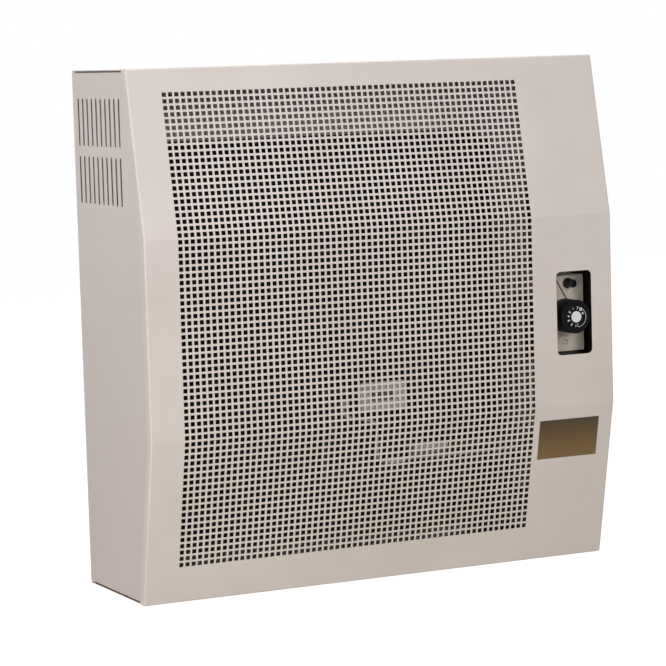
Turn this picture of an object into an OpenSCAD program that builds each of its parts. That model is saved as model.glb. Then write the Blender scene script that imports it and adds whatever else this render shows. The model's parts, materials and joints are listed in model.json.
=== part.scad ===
// Wall mounted gas convector heater with a perforated three-facet front.
// Millimetres. X to the right seen from the room, Y into the wall, Z up.
// The origin is the centre of the wall fixing holes, on the wall's face.

/* [Casing] */
// Width over the front panel
body_w = 636; // [620:4:760]
// Height over the front panel
body_h = 640; // [600:4:720]
// Depth from the wall to the flat middle of the front
body_d = 218; // [208:2:260]
// Height of the flat middle facet of the front
mid_h = 240; // [200:8:280]
// How far the top and bottom edges lie behind the middle facet
front_bow = 41; // [20:1:50]
// Thickness of the painted sheet
sheet_t = 1; // [0.8:0.1:1.5]
// Width of the returns round the front panel
return_w = 12; // [8:1:18]
// Gap between a side panel's end and the top or bottom panel
side_end_gap = 2; // [1:0.5:4]
// Depth of the inner flanges on the top and bottom panels
inner_flange_w = 15; // [10:1:20]

/* [Perforation] */
// Pitch of the square holes
hole_pitch = 8; // [8:1:12]
// Side of each square hole
hole_side = 5; // [4:0.5:6]
// Solid margin left of the perforation
margin_left = 42; // [30:1:60]
// Solid margin right of the perforation
margin_right = 114; // [104:1:140]
// Solid margin above the perforation, along the sheet
margin_top = 28; // [20:1:50]
// Solid margin below the perforation, along the sheet
margin_bottom = 44; // [20:1:60]

/* [Side vents] */
// Width of a vent slot
vent_w = 5; // [3:0.5:6]
// Length of a vent slot
vent_l = 58; // [40:1:70]
// Pitch of the vent slots
vent_pitch = 14.8; // [12:0.2:20]
// Distance from the casing's top to the upper row
vent_top = 35; // [24:0.5:44]
// Gap between the two rows
vent_row_gap = 12; // [8:1:20]
// Distance from the wall to the first slot
vent_back = 18; // [12:0.5:24]
// Least distance from the last slot to the casing's front corner
vent_front = 20; // [18:1:30]

/* [Control window] */
// Width of the window in the front panel
window_w = 51; // [48:1:56]
// Height of the window
window_h = 105.5; // [100:0.5:112]
// Corner radius of the window
window_r = 6; // [3:0.5:8]
// Distance from the casing's right edge to the window's centre
window_inset = 55.5; // [53:0.5:60]
// Height of the window's centre over the casing's centre
window_z = -3.25; // [-8:0.25:4]
// Depth of the control bracket's face behind the front
control_recess = 40; // [38:1:46]

/* [Nameplate] */
// Width of the blank nameplate
plate_w = 86; // [60:1:96]
// Height of the nameplate, along the sheet
plate_h = 51; // [30:1:60]
// Thickness of the nameplate
plate_t = 0.5; // [0.3:0.1:1]
// Distance from the casing's right edge to the nameplate
plate_inset = 20.7; // [12:0.1:22]
// Distance from the lower bend to the nameplate, along the sheet
plate_drop = 18; // [10:1:40]

/* [Back panel] */
// Thickness of the back panel
back_t = 1.2; // [1:0.1:2]
// Depth of the back panel's edge flanges
back_flange_w = 9; // [8:1:26]
// Distance from the casing's sides to the wall fixing holes
fixing_inset_x = 88; // [40:1:100]
// Distance from the casing's top and bottom to the wall fixing holes
fixing_inset_z = 27; // [20:1:34]
// Radius of a wall fixing hole
fixing_r = 4.5; // [3:0.25:6]

/* [Heat exchanger] */
// Wall of the welded exchanger body
shell_t = 2; // [1.5:0.5:3]
// Upright corner radius of the exchanger
shell_r = 16; // [8:1:22]
// Gap between the casing's left side and the exchanger
shell_side_gap = 53; // [48:1:70]
// Width kept free for the controls on the right
control_bay = 153; // [150:1:170]
// Gap above the exchanger
shell_top_gap = 92; // [60:1:110]
// Gap below the exchanger
shell_bottom_gap = 52; // [48:1:80]
// Gap between the wall and the exchanger
shell_back_gap = 50; // [44:1:60]
// Distance from the front's middle facet to the exchanger
shell_front_gap = 62; // [58:1:72]
// Thickness of a hanger bracket
hanger_t = 1.5; // [1:0.25:3]
// Width of a hanger bracket
hanger_w = 30; // [20:1:40]
// Length of a hanger bracket's feet
hanger_foot = 20; // [14:1:26]

/* [Burner door] */
// Distance from the exchanger's sides to the door
door_inset = 25; // [20:1:40]
// Distance from the exchanger's bottom to the door
door_rise = 57; // [36:1:60]
// Height of the door
door_h = 150; // [146:1:170]
// Thickness of the door
door_t = 2; // [1.5:0.5:3]
// Thickness of the door's gasket
gasket_t = 2; // [1:0.5:3]
// Width of the gasket's border
gasket_w = 15; // [12:1:18]
// Width of the sight window's frame
sight_w = 63; // [50:1:70]
// Height of the sight window's frame
sight_h = 35; // [28:1:40]
// Distance from the door's right edge to the sight window's centre
sight_inset = 124.5; // [110:0.5:130]
// Distance from the door's top to the sight window's centre
sight_drop = 32.5; // [32:0.5:40]

/* [Burner] */
// Radius of the burner tube
burner_r = 19; // [14:1:22]
// Wall of the burner tube
burner_wall = 1.2; // [1:0.1:2]
// Pitch of the burner's flame slots
port_pitch = 10; // [8:1:16]
// Distance from the door's right edge to the injector
injector_inset = 67; // [50:0.5:75]
// Distance from the door's top to the burner's centre
burner_drop = 103; // [90:1:110]
// Radius of the gas pipe to the burner
burner_pipe_r = 5; // [4:0.5:6]

/* [Flue] */
// Outer radius of the flue spigot
flue_r = 40; // [35:1:45]
// Outer radius of the air spigot
air_r = 70; // [62:1:80]
// Wall of both spigots
spigot_wall = 1.2; // [1:0.1:2]
// Height of the flue's centre over the casing's centre
flue_z = 100; // [60:5:110]
// Length of the flue spigot past the wall's face
flue_out = 60; // [50:2:90]
// Length of the air spigot past the wall's face
air_out = 40; // [20:2:48]
// Width of the air box
air_box_w = 200; // [180:2:220]
// Thickness of the air box's sheet
air_box_t = 1; // [0.8:0.1:1.5]

/* [Gas valve] */
// Width of the valve body
valve_w = 66; // [62:1:68]
// Depth of the valve body
valve_d = 72; // [64:1:80]
// Height of the valve body
valve_h = 78; // [74:1:80]
// Radius of the valve's neck
neck_r = 15; // [12:0.5:15]
// Radius of the turning stem
stem_r = 4; // [3:0.25:5]
// Radial running clearance of the stem and the igniter's button
running_gap = 0.05; // [0.03:0.01:0.09]
// Outer radius of the inlet pipe's thread
inlet_thread_r = 10.48; // [8:0.02:11]

/* [Knob] */
// Radius of the control knob
knob_r = 21.25; // [18:0.25:22]
// Length of the control knob
knob_l = 29; // [27:0.5:30]
// Depth of the knob's face behind the front
knob_recess = 1; // [0.8:0.2:4]
// Wall of the knob's skirt
knob_wall = 2; // [1.5:0.25:2.5]
// How far the knob presses in
knob_travel = 5; // [3:0.5:5]
// Radius of the pale disc in the knob's face
cap_r = 7.1; // [5:0.1:9]
// Offset of the knob's axis from the window's centre along X
knob_dx = 3; // [0:0.5:3]
// Drop of the knob's axis below the window's centre
knob_drop = 5.5; // [4:0.25:8]

/* [Igniter] */
// Radius of the igniter's button
button_r = 5.3; // [4:0.1:5.8]
// How far the button stands out of its collar
button_out = 12; // [10:0.5:17]
// How far the button presses in
button_travel = 7; // [4:0.5:8]
// Radius of the igniter's body behind the bracket
igniter_r = 8; // [7:0.25:8.5]
// Length of the igniter's body
igniter_l = 40; // [36:1:50]

/* [Hidden] */

// Finish colours
paint = [0.86, 0.82, 0.79];
zinc = [0.66, 0.67, 0.68];
soot_black = [0.09, 0.09, 0.09];
graphite = [0.16, 0.15, 0.14];
dark_steel = [0.25, 0.24, 0.23];
plain_steel = [0.55, 0.55, 0.56];
alloy = [0.76, 0.77, 0.78];
brass = [0.78, 0.62, 0.30];
copper = [0.72, 0.45, 0.30];
bracket_grey = [0.76, 0.73, 0.68];
ceramic_white = [0.92, 0.90, 0.86];
plastic_black = [0.06, 0.06, 0.06];

bar_fn = 18;
small_fn = 32;
round_fn = 72;
through = 1;           // how far a cutter runs past the faces that it cuts
hole_gap = 0.1;        // radial clearance round a screw or a fixed pin
fit_gap = 0.2;         // clearance round a piece that drops into a recess
bend_swell = 1.012;    // a bar is this much thicker in its bends
bend_lap = 0.05;       // share of the bend's radius that a straight run reaches into the bend

// Front profile
front_y = -body_d;
bend_z = mid_h / 2;
top_z = body_h / 2;
right_x = body_w / 2;
edge_d = body_d - front_bow;
facet_l = sqrt(pow(top_z - bend_z, 2) + pow(front_bow, 2));
slope = atan2(front_bow, top_z - bend_z);
slope_tan = tan(slope);

// The side and end panels lie one sheet inside the front panel's returns
panel_x = right_x - sheet_t;
inner_x = panel_x - sheet_t;
panel_z = top_z - sheet_t;
inner_z = panel_z - sheet_t;

// Perforation counts and extents; s runs along the sheet from the middle
cell_margin = (hole_pitch - hole_side) / 2;
hole_cols = floor((body_w - margin_left - margin_right) / hole_pitch);
rows_up = floor((facet_l - margin_top) / hole_pitch);
rows_mid = floor(mid_h / hole_pitch);
rows_down = floor((facet_l - margin_bottom) / hole_pitch);
field_x = -right_x + margin_left;
field_w = hole_cols * hole_pitch;
field_top = bend_z + rows_up * hole_pitch;
field_bottom = bend_z + rows_down * hole_pitch;
layer_gap = 0.02;      // keeps the two slotted layers apart
layer_t = (sheet_t - layer_gap) / 2;

// Side vents
vent_count = floor((edge_d - vent_back - vent_front) / vent_pitch) + 1;
vent_z = [top_z - vent_top - vent_l, top_z - vent_top - 2 * vent_l - vent_row_gap];

// Wall fixing holes, from the middle
fixing_x = body_w / 2 - fixing_inset_x;
fixing_z = body_h / 2 - fixing_inset_z;

// Exchanger and door
hanger_inset = 28;
shell_x0 = -right_x + shell_side_gap;
shell_x1 = right_x - control_bay;
shell_y0 = front_y + shell_front_gap;
shell_y1 = -shell_back_gap;
shell_z0 = -top_z + shell_bottom_gap;
shell_z1 = top_z - shell_top_gap;
door_x0 = shell_x0 + door_inset;
door_x1 = shell_x1 - door_inset;
door_z0 = shell_z0 + door_rise;
door_z1 = door_z0 + door_h;
gasket_y = shell_y0 - gasket_t;
door_y = gasket_y - door_t;
door_screw_r = 2.5;
door_screw_head_r = 4.5;
door_screw_head_h = 3;
door_screw_l = 10;
door_screw_cols = 5;
sight_x = door_x1 - sight_inset;
sight_z = door_z1 - sight_drop;
sight_t = 5;
sight_lip = 1.8;
sight_border = 5;
sight_view = [31, 13];
sight_glass_t = sight_t - sight_lip - fit_gap;
sight_port = [40, 20];
sight_screw_r = 1.2;
sight_screw_head_r = 2.2;
sight_screw_x = sight_w / 2 - sight_border / 2;

// Burner
burner_end_gap = 45;
burner_y = (shell_y0 + shell_y1) / 2;
burner_z = door_z1 - burner_drop;
burner_x0 = shell_x0 + burner_end_gap;
injector_x = door_x1 - injector_inset;
burner_x1 = injector_x + 20;
port_w = 1.5;
port_count = floor((burner_x1 - burner_x0 - 2 * port_pitch) / port_pitch);
support_t = 1.5;
support_w = 30;
support_x = [burner_x0 + 25, injector_x - 45];
mixing_r = 12;
mixing_wall = 1.2;
mixing_mouth_r = 16;
mixing_mouth_l = 10;
mixing_y = shell_y0 + 6;
injector_r = 5;
injector_bore_r = 0.8;
injector_y = [door_y - 6, shell_y0 + 2];
holder_w = 48;
holder_h = 14;
holder_d = 20;
holder_chamfer = 7;
holder_x = injector_x - holder_w / 2;
pipe_y = door_y - holder_d / 2;
nut_l = 12;
pipe_nut_r = 9;
pipe_grip = 10;        // how far a pipe runs inside the piece it screws into
bend_r = 15;

// Flue and air path
flue_x = (shell_x0 + shell_x1) / 2;
flue_flange_r = flue_r + 12;
flue_flange_t = 3;
air_box_x0 = flue_x - air_box_w / 2;
air_box_y0 = shell_y1 + flue_flange_t;
air_box_z0 = shell_z0 + 10;
air_flange_r = air_r + 10;
air_flange_t = 1.5;
air_box_z1 = flue_z + air_flange_r + 5;
air_port = [160, 50];
air_port_z = air_box_z0 + 10;
air_gasket_w = 8;

// Controls
bracket_y = front_y + control_recess;
bracket_t = 1.5;
window_x = right_x - window_inset;
bracket_x0 = window_x - 36;
bracket_x1 = window_x + 37;
bracket_z0 = window_z - 52.75;
bracket_z1 = window_z + 44.25;
bracket_foot = 16;
knob_x = window_x + knob_dx;
knob_z = window_z - knob_drop;
knob_y = front_y + knob_recess;
knob_back = knob_y + knob_l;
knob_face_t = 4;
knob_chamfer = 1;
hub_r = 8;
hub_clear = 1;         // gap left between the hub and the neck when pressed
neck_out = 8;
neck_y = bracket_y - neck_out;
hub_back = neck_y - knob_travel - hub_clear;
stem_y0 = hub_back - 14;
stem_y1 = bracket_y + 28;
stem_flat = 1.2;       // depth of the flat on the stem's front end
stem_bore_end = stem_y1 + knob_travel + 1;
plunger_r = 2;
plunger_l = 26;
plunger_bore_end = stem_y1 + plunger_l + knob_travel + 2;
cap_t = 1.8;
cap_sink = 1.2;
valve_y = bracket_y + bracket_t;
valve_x1 = bracket_x1 - bracket_t - 2;
valve_x0 = valve_x1 - valve_w;
valve_z1 = knob_z + 22;
valve_z0 = valve_z1 - valve_h;
valve_chamfer = 8;
boss_h = 4;
outlet_x = valve_x0 + 20;
inlet_x = valve_x1 - 17;
inlet_y = valve_y + 41.5;
inlet_pipe_r = 8.6;
inlet_bore_r = 6.5;
inlet_nut_r = 16;
inlet_nut_l = 14;
inlet_thread_l = 18;
inlet_end_gap = 2;
pilot_port_x = valve_x0 + 8;
pilot_port_y = valve_y + 26;
probe_port_y = valve_y + 26;
probe_port_z = valve_z1 - 8;
bracket_screw_r = 2;
bracket_screw_head_r = 3.5;
bracket_screw_head_h = 2.4;
bracket_screw_l = 10;
bracket_screw_at = [[knob_x + 5, knob_z - 35.25], [valve_x0 + 10, knob_z + 12]];

// Igniter
igniter_x = window_x + 13.5;
igniter_z = window_z + 34.5;
collar_t = 3;
igniter_bore_r = button_r + running_gap;
igniter_neck_r = igniter_bore_r + 0.85;
collar_r = igniter_neck_r + 0.3;
button_y0 = bracket_y - collar_t - button_out;
button_y1 = bracket_y + 28;
igniter_bore_end = button_y1 + button_travel + 2;

// Pilot group, and the small tubes that run along the door
pilot_x = sight_x - 56;
pilot_z = sight_z - 6;
pilot_plate_w = 52;
pilot_plate_h = 38;
pilot_plate_t = 2;
pilot_plate_y = door_y - pilot_plate_t;
pilot_block = 10;
pilot_block_d = 12;
pilot_reach = 22;      // how far the pilot pieces reach into the exchanger
pilot_tip_r = 3.5;
probe_x = pilot_x - 15;
probe_r = 3;
spark_z = pilot_z + 18;
insulator_r = 3.5;
electrode_r = 1;
electrode_l = 14;
plug_y = pilot_plate_y - electrode_l + 1.5;   // where the ignition lead meets the electrode
small_bend = 7;
run_y = pilot_plate_y - 4;
pilot_tube_r = 2;
pilot_step = [27, 15];   // how far under the pilot its tube leaves the riser and meets its axis
probe_lead_r = 1.5;
spark_lead_r = 2.5;
pilot_run_z = burner_z - pipe_nut_r - 3;
probe_run_z = pilot_run_z - 5.5;
spark_run_z = probe_run_z - 6;
probe_lead_x = valve_x0 - 8;
lead_x = probe_lead_x - 12;
lead_y = bracket_y + bracket_t + igniter_l + 12;
lead_rise_x = probe_x - 14;
riser_x = pilot_x + 46;
clip_x = riser_x + small_bend + 3;
clip_w = 27;
clip_t = 1;
clip_lip = 5;

// Heat shield between the exchanger and the controls
shield_t = 1.2;
shield_x = shell_x1 + 14;
shield_z1 = shell_z1 - 8;
shield_foot = 14;

// Thermostat
bulb_r = 3.5;
bulb_l = 75;
bulb_y = -40;
bulb_z = -top_z + 50;
bulb_clip_t = 1.2;
bulb_clip_h = 14;
capillary_r = 0.8;
capillary_y = bracket_y - capillary_r - 0.4;
capillary_x = valve_x0 - 26;
bulb_x = capillary_x + 12;
capillary_in = [knob_x + 9, knob_z + 19.25];
capillary_drift = -0.585;   // sideways drift for each millimetre that it rises
capillary_rise = 87;

// Sheet metal screws under the cover
cover_screw_r = 1.8;
cover_screw_head_r = 4;
cover_screw_l = 9;
cover_screw_x = body_w / 2 - 68;

// Bottom inlet slots
inlet_slot = [60, 8];
inlet_slot_pitch = [75, 25];
inlet_slot_x0 = -right_x + 26;
inlet_slot_front = 30;
inlet_slot_cols = floor((valve_x0 - 6 - inlet_slot_x0) / inlet_slot_pitch[0]);
inlet_slot_rows = floor((edge_d - inlet_slot_front - 15) / inlet_slot_pitch[1]);
pipe_hole_r = 20;

// Height above the middle of a point s along the sheet, d behind its face, as [y, z]
function front_pt(s, d) = abs(s) <= bend_z
    ? [front_y + d, s]
    : let (e = abs(s) - bend_z)
      [front_y + e * sin(slope) + d * cos(slope),
       sign(s) * (bend_z + e * cos(slope) - d * sin(slope))];

// Where the faces d behind the front meet at a bend, with side 1 above and -1 below
function bend_pt(side, d) = [front_y + d, side * (bend_z - d * tan(slope / 2))];

// Y of the sloping facet's face, d behind the front, at height z
function slope_y(z, d) = front_y + (abs(z) - bend_z) * slope_tan + d / cos(slope);

// Outline of the front's layer from depth a to depth b, cut square to the sheet
function band(s_top, s_bottom, a, b) = [
    front_pt(s_top, a), bend_pt(1, a), bend_pt(-1, a), front_pt(-s_bottom, a),
    front_pt(-s_bottom, b), bend_pt(-1, b), bend_pt(1, b), front_pt(s_top, b)];

function unit(v) = v / norm(v);
function turn(p, q, s) = acos(unit(q - p) * unit(s - q));
function bend_cut(path, i, bend) = bend * tan(turn(path[i - 1], path[i], path[i + 1]) / 2);

// Extrudes an outline of [y, z] points from x0 to x1
module across(x0, x1) {
    translate([x0, 0, 0]) rotate([90, 0, 90]) linear_extrude(height = x1 - x0) children();
}

// Turns a piece drawn along Z so that it runs into the heater, or to the right
module along_y(p) { translate(p) rotate([-90, 0, 0]) children(); }
module along_x(p) { translate(p) rotate([0, 90, 0]) children(); }

module box(low, high) { translate(low) cube(high - low); }

module rod_y(x, z, r, y0, y1, fn = small_fn) {
    along_y([x, y0, z]) cylinder(r = r, h = y1 - y0, $fn = fn);
}

module rod_z(x, y, r, z0, z1, fn = small_fn) {
    translate([x, y, z0]) cylinder(r = r, h = z1 - z0, $fn = fn);
}

module rod_x(y, z, r, x0, x1, fn = small_fn) {
    along_x([x0, y, z]) cylinder(r = r, h = x1 - x0, $fn = fn);
}

// Rectangle with round corners, from its low corner
module round_rect(w, h, r, fn = small_fn) {
    translate([r, 0]) square([w - 2 * r, h]);
    translate([0, r]) square([w, h - 2 * r]);
    for (x = [r, w - r], y = [r, h - r]) translate([x, y]) circle(r = r, $fn = fn);
}

// Prism of a round rectangle through the front, centred on x and z
module window_y(x, z, w, h, r, y0, y1) {
    translate([x - w / 2, y0, z + h / 2]) rotate([-90, 0, 0])
        linear_extrude(height = y1 - y0) round_rect(w, h, r);
}

// Screw along +Y with a pan head in front of y
module pan_screw_y(x, y, z, r, head_r, head_h, l) {
    drive_w = head_r * 0.25;
    difference() {
        union() {
            rod_y(x, z, r, y - head_h / 2, y + l);
            rod_y(x, z, head_r, y - head_h, y);
        }
        for (size = [[head_r * 1.2, drive_w], [drive_w, head_r * 1.2]])
            translate([x - size[0] / 2, y - head_h - through, z - size[1] / 2])
                cube([size[0], through + head_h / 2, size[1]]);
    }
}

// Straight round bar from a to b
module bar(a, b, r) {
    u = unit(b - a);
    p = unit(cross(u, abs(u[2]) < 0.9 ? [0, 0, 1] : [1, 0, 0]));
    q = cross(u, p);
    multmatrix([[p[0], q[0], u[0], a[0]], [p[1], q[1], u[1], a[1]], [p[2], q[2], u[2], a[2]],
        [0, 0, 0, 1]]) cylinder(r = r, h = norm(b - a), $fn = bar_fn);
}

// Round bend of a bar at q, between p and s
module elbow(p, q, s, r, bend) {
    u = unit(q - p);
    v = unit(s - q);
    angle = turn(p, q, s);
    n = (v - u * cos(angle)) / sin(angle);
    c = q - u * bend * tan(angle / 2) + n * bend;
    w = cross(-n, u);
    multmatrix([[-n[0], u[0], w[0], c[0]], [-n[1], u[1], w[1], c[1]], [-n[2], u[2], w[2], c[2]],
        [0, 0, 0, 1]])
        rotate_extrude(angle = angle, $fn = bar_fn) translate([bend, 0]) circle(r = r, $fn = bar_fn);
}

// Bar that follows a path of points with round bends; each bend closes over the runs beside it
module bent_bar(path, r, bend) {
    last = len(path) - 1;
    for (i = [0:last - 1]) {
        u = unit(path[i + 1] - path[i]);
        cut_a = i == 0 ? 0 : bend_cut(path, i, bend) - bend * bend_lap;
        cut_b = i == last - 1 ? 0 : bend_cut(path, i + 1, bend) - bend * bend_lap;
        bar(path[i] + u * cut_a, path[i + 1] - u * cut_b, r);
    }
    for (i = [1:last - 1]) elbow(path[i - 1], path[i], path[i + 1], r * bend_swell, bend);
}

// ---- Casing ----

// Sheet with its top and bottom returns, as one folded outline
module front_sheet() {
    lip_y = -edge_d + return_w;
    inner_end_y = slope_y(panel_z, sheet_t);
    across(-right_x, right_x) polygon([
        [lip_y, top_z], [-edge_d, top_z], bend_pt(1, 0), bend_pt(-1, 0), [-edge_d, -top_z],
        [lip_y, -top_z], [lip_y, -panel_z], [inner_end_y, -panel_z], bend_pt(-1, sheet_t),
        bend_pt(1, sheet_t), [inner_end_y, panel_z], [lip_y, panel_z]]);
}

// Return along one side, parallel to the front
module side_return(x0) {
    across(x0, x0 + sheet_t) polygon([
        [-edge_d, top_z], bend_pt(1, 0), bend_pt(-1, 0), [-edge_d, -top_z],
        [-edge_d + return_w, -top_z], [front_y + return_w, -bend_z],
        [front_y + return_w, bend_z], [-edge_d + return_w, top_z]]);
}

module front_panel() color(paint) difference() {
    union() {
        front_sheet();
        side_return(-right_x);
        side_return(panel_x);
    }
    across(field_x, field_x + field_w)
        polygon(band(field_top, field_bottom, -through, sheet_t + through));
    window_y(window_x, window_z, window_w, window_h, window_r, front_y - through,
        front_y + sheet_t + through);
}

// The perforated field: upright slots in the outer half of the sheet and level slots in the
// inner half cross as the square holes
module front_grille() color(paint) {
    difference() {
        across(field_x, field_x + field_w) polygon(band(field_top, field_bottom, 0, layer_t));
        for (i = [0:hole_cols - 1]) {
            x = field_x + cell_margin + i * hole_pitch;
            across(x, x + hole_side) polygon(band(field_top - cell_margin,
                field_bottom - cell_margin, -through, layer_t + through));
        }
    }
    difference() {
        across(field_x, field_x + field_w)
            polygon(band(field_top, field_bottom, layer_t + layer_gap, sheet_t));
        for (s = [for (i = [0:rows_up - 1]) bend_z + i * hole_pitch,
                  for (i = [0:rows_mid - 1]) (i - rows_mid / 2) * hole_pitch,
                  for (i = [1:rows_down]) -bend_z - i * hole_pitch])
            level_slot(s + cell_margin);
    }
}

module level_slot(s) {
    a = layer_t + layer_gap - through;
    b = sheet_t + through;
    across(field_x + cell_margin, field_x + field_w - cell_margin)
        polygon([front_pt(s, a), front_pt(s + hole_side, a), front_pt(s + hole_side, b),
            front_pt(s, b)]);
}

// Side sheet under the front panel's return, with two rows of vents
module side_panel(x0) color(paint) difference() {
    z1 = inner_z - side_end_gap;
    across(x0, x0 + sheet_t) polygon([
        [0, z1], [slope_y(z1, 2 * sheet_t), z1], bend_pt(1, 2 * sheet_t),
        bend_pt(-1, 2 * sheet_t), [slope_y(z1, 2 * sheet_t), -z1], [0, -z1]]);
    across(x0 - through, x0 + sheet_t + through)
        for (z = vent_z, i = [0:vent_count - 1])
            translate([-vent_back - i * vent_pitch - vent_w / 2, z])
                round_rect(vent_w, vent_l, vent_w / 2 - 0.01);
}

module left_side_panel() { side_panel(-panel_x); }
module right_side_panel() { side_panel(inner_x); }

// End sheet with an inner flange along each side; side is 1 at the top and -1 at the bottom
module end_panel(side) {
    mirror([0, 0, side > 0 ? 0 : 1]) {
        box([-panel_x, slope_y(panel_z, 2 * sheet_t), inner_z], [panel_x, 0, panel_z]);
        for (x = [-inner_x, inner_x - sheet_t])
            box([x, -edge_d + return_w, inner_z - inner_flange_w],
                [x + sheet_t, -back_flange_w - 2, inner_z]);
    }
}

module top_panel() color(paint) end_panel(1);

module bottom_panel() color(paint) difference() {
    end_panel(-1);
    translate([0, 0, -panel_z - through]) linear_extrude(height = sheet_t + 2 * through) {
        for (i = [0:inlet_slot_cols - 1], j = [0:inlet_slot_rows - 1])
            translate([inlet_slot_x0 + i * inlet_slot_pitch[0],
                    -edge_d + inlet_slot_front + j * inlet_slot_pitch[1]])
                round_rect(inlet_slot[0], inlet_slot[1], inlet_slot[1] / 2 - 0.01);
        translate([inlet_x, inlet_y]) circle(r = pipe_hole_r, $fn = round_fn);
    }
    cover_screw_holes();
}

module cover_screw_holes() {
    for (x = [-cover_screw_x, 0, cover_screw_x])
        rod_z(x, -back_flange_w / 2, cover_screw_r + hole_gap, -top_z, -inner_z + back_t + through);
}

module nameplate() color(brass) {
    x1 = right_x - plate_inset;
    s = -bend_z - plate_drop;
    across(x1 - plate_w, x1)
        polygon([front_pt(s, -plate_t), front_pt(s - plate_h, -plate_t), front_pt(s - plate_h, 0),
            front_pt(s, 0)]);
}

module cover_screws() color(plain_steel) {
    for (x = [-cover_screw_x, 0, cover_screw_x]) {
        rod_z(x, -back_flange_w / 2, cover_screw_r, -panel_z, -panel_z + cover_screw_l);
        rod_z(x, -back_flange_w / 2, cover_screw_head_r, -top_z, -panel_z);
    }
}

// ---- Back panel and hangers ----

module back_panel() color(paint) difference() {
    union() {
        box([-inner_x, -back_t, -inner_z], [inner_x, 0, inner_z]);
        for (x = [-inner_x, inner_x - back_t])
            box([x, -back_flange_w, -inner_z], [x + back_t, 0, inner_z]);
        for (z = [-inner_z, inner_z - back_t])
            box([-inner_x, -back_flange_w, z], [inner_x, 0, z + back_t]);
    }
    for (x = [-fixing_x, fixing_x], z = [-fixing_z, fixing_z])
        rod_y(x, z, fixing_r, -back_t - through, through);
    rod_y(flue_x, flue_z, air_r + 1, -back_t - through, through, round_fn);
    cover_screw_holes();
}

module hanger_brackets() color(zinc) {
    for (x = [shell_x0 + hanger_inset, shell_x1 - hanger_inset - hanger_w],
            z = [shell_z0 + hanger_inset, shell_z1 - hanger_inset])
        across(x, x + hanger_w) translate([0, z]) {
            translate([-back_t - hanger_t, 0]) square([hanger_t, hanger_foot]);
            translate([shell_y1, 0]) square([-shell_y1 - back_t, hanger_t]);
            translate([shell_y1, hanger_t - hanger_foot]) square([hanger_t, hanger_foot]);
        }
}

// ---- Heat exchanger, door and sight window ----

module shell_block(inset) {
    translate([shell_x0 + inset, shell_y0 + inset, shell_z0 + inset])
        linear_extrude(height = shell_z1 - shell_z0 - 2 * inset)
            round_rect(shell_x1 - shell_x0 - 2 * inset, shell_y1 - shell_y0 - 2 * inset,
                shell_r - inset, round_fn);
}

module heat_exchanger() color(soot_black) difference() {
    shell_block(0);
    shell_block(shell_t);
    box([door_x0 + gasket_w, shell_y0 - through, door_z0 + gasket_w],
        [door_x1 - gasket_w, shell_y0 + shell_t + through, door_z1 - gasket_w]);
    rod_y(flue_x, flue_z, flue_r, shell_y1 - shell_t - through, shell_y1 + through, round_fn);
    box([flue_x - air_port[0] / 2, shell_y1 - shell_t - through, air_port_z],
        [flue_x + air_port[0] / 2, shell_y1 + through, air_port_z + air_port[1]]);
    door_screw_holes();
}

// Centres of the door's screws
function door_screw_at() = let (
    x0 = door_x0 + gasket_w / 2,
    x1 = door_x1 - gasket_w / 2,
    step = (x1 - x0) / (door_screw_cols - 1))
    [for (i = [0:door_screw_cols - 1], z = [door_z0 + gasket_w / 2, door_z1 - gasket_w / 2])
        [x0 + i * step, z]];

module door_screw_holes() {
    for (p = door_screw_at())
        rod_y(p[0], p[1], door_screw_r + hole_gap, door_y - through, shell_y0 + shell_t + through);
}

module burner_door() color(soot_black) difference() {
    box([door_x0, door_y, door_z0], [door_x1, gasket_y, door_z1]);
    door_screw_holes();
    window_y(sight_x, sight_z, sight_port[0], sight_port[1], 2, door_y - through,
        gasket_y + through);
    rod_y(injector_x, burner_z, injector_r + hole_gap, door_y - through, gasket_y + through);
    rod_y(pilot_x, pilot_z, pilot_tip_r + hole_gap, door_y - through, gasket_y + through);
    rod_y(probe_x, pilot_z, probe_r + hole_gap, door_y - through, gasket_y + through);
    rod_y(pilot_x, spark_z, insulator_r + hole_gap, door_y - through, gasket_y + through);
}

module door_gasket() color(graphite) difference() {
    box([door_x0, gasket_y, door_z0], [door_x1, shell_y0, door_z1]);
    box([door_x0 + gasket_w, gasket_y - through, door_z0 + gasket_w],
        [door_x1 - gasket_w, shell_y0 + through, door_z1 - gasket_w]);
    door_screw_holes();
}

module door_screws() color(plain_steel) {
    for (p = door_screw_at())
        pan_screw_y(p[0], door_y, p[1], door_screw_r, door_screw_head_r, door_screw_head_h,
            door_screw_l);
}

module sight_frame() color(alloy) difference() {
    window_y(sight_x, sight_z, sight_w, sight_h, 4, door_y - sight_t, door_y);
    window_y(sight_x, sight_z, sight_view[0], sight_view[1], 2, door_y - sight_t - through, door_y);
    box([sight_x - sight_w / 2 + sight_border, door_y - sight_t + sight_lip,
            sight_z - sight_h / 2 + sight_border],
        [sight_x + sight_w / 2 - sight_border, door_y + through,
            sight_z + sight_h / 2 - sight_border]);
    for (x = [-sight_screw_x, sight_screw_x])
        rod_y(sight_x + x, sight_z, sight_screw_r + hole_gap, door_y - sight_t - through,
            door_y + through);
}

module sight_glass() color([0.8, 0.7, 0.5, 0.5]) {
    half = [sight_w / 2 - sight_border - fit_gap, sight_h / 2 - sight_border - fit_gap];
    box([sight_x - half[0], door_y - sight_glass_t, sight_z - half[1]],
        [sight_x + half[0], door_y, sight_z + half[1]]);
}

module sight_screws() color(plain_steel) {
    for (x = [-sight_screw_x, sight_screw_x])
        pan_screw_y(sight_x + x, door_y - sight_t, sight_z, sight_screw_r, sight_screw_head_r, 1.5,
            sight_t);
}

// ---- Burner ----

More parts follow.
